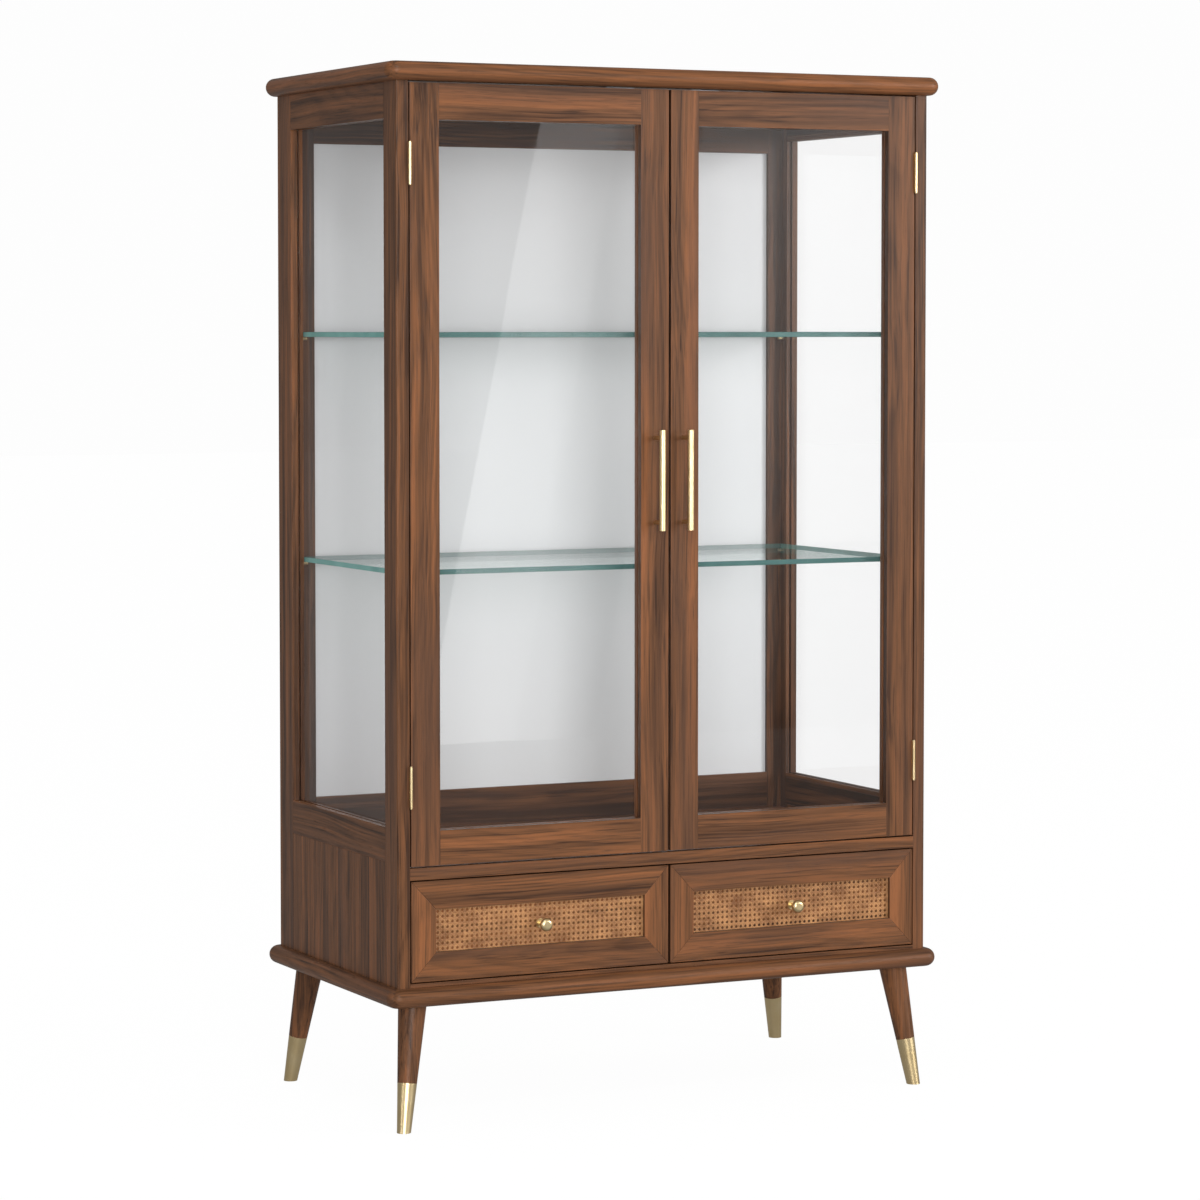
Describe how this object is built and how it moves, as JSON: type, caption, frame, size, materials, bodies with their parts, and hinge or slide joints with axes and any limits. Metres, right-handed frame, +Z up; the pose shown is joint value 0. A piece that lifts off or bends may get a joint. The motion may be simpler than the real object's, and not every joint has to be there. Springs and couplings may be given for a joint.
{
  "type": "china cabinet",
  "caption": "Walnut china cabinet with glazed sides and glass doors, glass shelves, cane-front drawers and splayed legs with brass ferrules.",
  "frame": {"origin": "on the floor, under the middle of the case", "axes": "+X to the right as seen from the front, +Y to the back, +Z up; the doors and drawers face -Y"},
  "size_m": [0.936, 0.52, 1.582],
  "materials": {
    "walnut": "satin clear lacquer over walnut, low sheen",
    "drawer_wood": "thin clear lacquer on light hardwood",
    "pane_glass": "clear float glass",
    "shelf_glass": "clear tempered glass with polished, greenish edges",
    "pale_lacquer": "satin pale grey lacquer on board",
    "brass": "satin brushed brass",
    "zinc_steel": "zinc-plated steel",
    "cane": "unsealed natural cane webbing"
  },
  "bodies": {
    "case": {"top_board": "walnut", "base_board": "walnut", "left_front_post": "walnut", "right_front_post": "walnut", "left_rear_post": "walnut", "right_rear_post": "walnut", "left_side_rails": "walnut", "right_side_rails": "walnut", "left_side_panel": "walnut", "right_side_panel": "walnut", "left_side_glass": "pane_glass", "right_side_glass": "pane_glass", "side_glass_beads": "walnut", "deck_board": "walnut", "drawer_sill": "walnut", "drawer_divider": "walnut", "back_frame": "walnut", "back_panel": "pale_lacquer", "lower_back_panel": "walnut", "lower_shelf": "shelf_glass", "upper_shelf": "shelf_glass", "shelf_pins": "brass", "left_front_leg": "walnut", "right_front_leg": "walnut", "left_rear_leg": "walnut", "right_rear_leg": "walnut", "ferrules": "brass", "leg_bolts": "zinc_steel", "hinge_post_leaves": "brass", "hinge_pins": "brass", "hinge_post_screws": "brass", "door_catches": "zinc_steel", "slide_outers": "zinc_steel"},
    "left_door": {"left_door_stiles": "walnut", "left_door_rails": "walnut", "left_door_glass": "pane_glass", "left_door_beads": "walnut", "left_door_handle": "brass", "left_door_hinge_leaves": "brass", "left_door_strike": "zinc_steel"},
    "left_drawer": {"left_drawer_front": "walnut", "left_drawer_cane": "cane", "left_drawer_box": "drawer_wood", "left_drawer_knob": "brass", "left_drawer_slides": "zinc_steel"},
    "left_slide_middle": {"left_slide_middles": "zinc_steel"},
    "right_door": {"right_door_stiles": "walnut", "right_door_rails": "walnut", "right_door_glass": "pane_glass", "right_door_beads": "walnut", "right_door_handle": "brass", "right_door_hinge_leaves": "brass", "right_door_strike": "zinc_steel"},
    "right_drawer": {"right_drawer_front": "walnut", "right_drawer_cane": "cane", "right_drawer_box": "drawer_wood", "right_drawer_knob": "brass", "right_drawer_slides": "zinc_steel"},
    "right_slide_middle": {"right_slide_middles": "zinc_steel"}
  },
  "joints": [
    {"name": "left_door_hinge", "type": "hinge", "parent": "case", "child": "left_door", "pos_m": [-0.429, -0.2398, 0.974], "axis": [0, 0, -1], "range_deg": [0, 110]},
    {"name": "left_drawer_slide", "type": "slide", "parent": "case", "child": "left_drawer", "axis": [0, -1, 0], "range_m": [0, 0.38]},
    {"name": "left_middle_slide", "type": "slide", "parent": "case", "child": "left_slide_middle", "axis": [0, -1, 0], "range_m": [0, 0.19]},
    {"name": "right_door_hinge", "type": "hinge", "parent": "case", "child": "right_door", "pos_m": [0.429, -0.2398, 0.974], "axis": [0, 0, 1], "range_deg": [0, 110]},
    {"name": "right_drawer_slide", "type": "slide", "parent": "case", "child": "right_drawer", "axis": [0, -1, 0], "range_m": [0, 0.38]},
    {"name": "right_middle_slide", "type": "slide", "parent": "case", "child": "right_slide_middle", "axis": [0, -1, 0], "range_m": [0, 0.19]}
  ],
  "couplings": [
    {"joint": "left_middle_slide", "follows": "left_drawer_slide", "ratio": 0.5},
    {"joint": "right_middle_slide", "follows": "right_drawer_slide", "ratio": 0.5}
  ]
}
